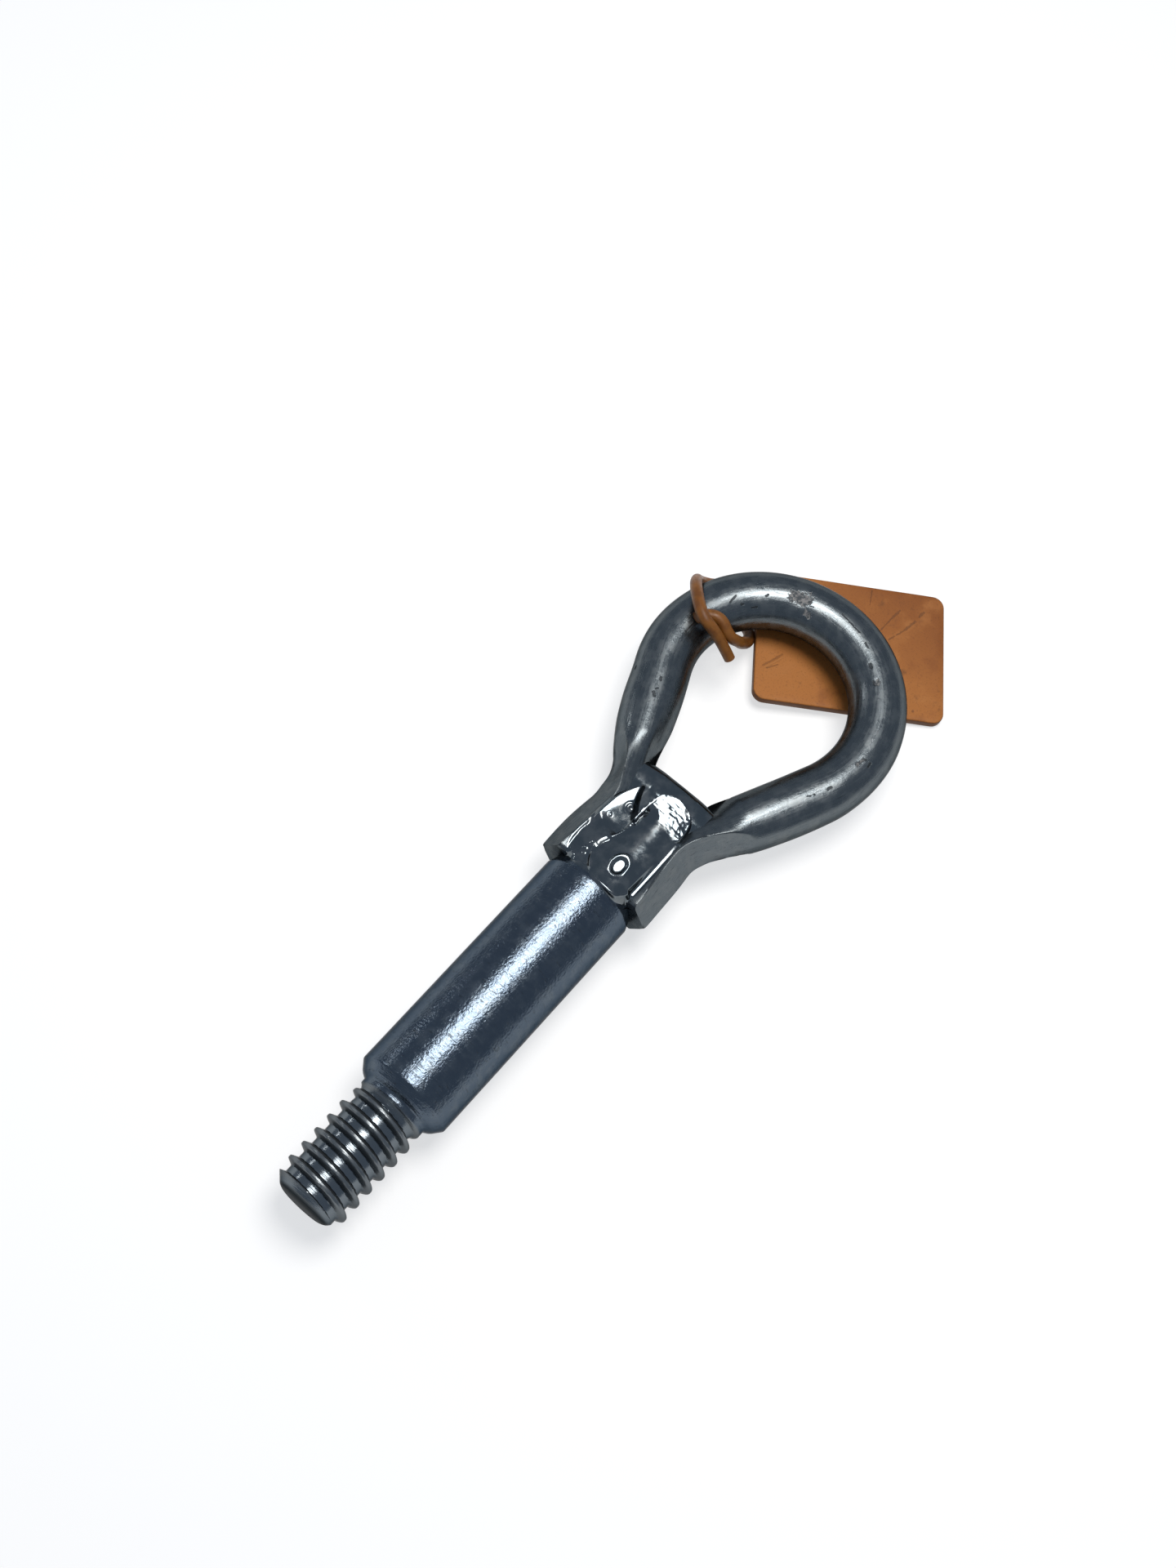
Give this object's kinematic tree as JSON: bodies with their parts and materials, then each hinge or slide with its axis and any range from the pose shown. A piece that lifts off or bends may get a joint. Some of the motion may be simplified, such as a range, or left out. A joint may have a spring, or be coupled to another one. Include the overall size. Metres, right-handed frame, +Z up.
{
  "type": "tow eye",
  "caption": "Screw-in towing eye: smooth shank with a coarse left-hand thread, a welded-on bar eye, and a blank plastic tag tied to the eye with one strand.",
  "frame": {"origin": "on the shank axis at the shoulder, where the full shank diameter starts", "axes": "+X along the shank to the eye, +Y to the left with the eye pointing up, +Z up from the floor the part lies on"},
  "size_m": [0.1933, 0.0609, 0.0233],
  "materials": {
    "plated_steel": "blue bright zinc plating with a grainy sheen, scuffs and small chips",
    "weld_metal": "plated weld metal, smooth and lumpy with ripples",
    "tag_plastic": "matte orange, finely speckled, scratched",
    "tie_plastic": "orange strand, slightly see-through"
  },
  "bodies": {
    "tow_eye": {"shank": "plated_steel", "eye_ring": "plated_steel", "weld_root": "weld_metal", "weld_front_right": "weld_metal", "weld_front_left": "weld_metal", "weld_back_right": "weld_metal", "weld_back_left": "weld_metal"},
    "tie": {"tag_tie": "tie_plastic"},
    "tag": {"tag": "tag_plastic"}
  },
  "joints": [
    {"name": "tie_slide", "type": "hinge", "parent": "tow_eye", "child": "tie", "pos_m": [0.1145, 0, 0.0014], "axis": [0, 0, 1], "range_deg": [-75, 20]},
    {"name": "tag_swivel", "type": "hinge", "parent": "tie", "child": "tag", "pos_m": [0.14009, 0.01601, -0.0068], "axis": [0, 0, 1], "range_deg": [0, 20]}
  ]
}
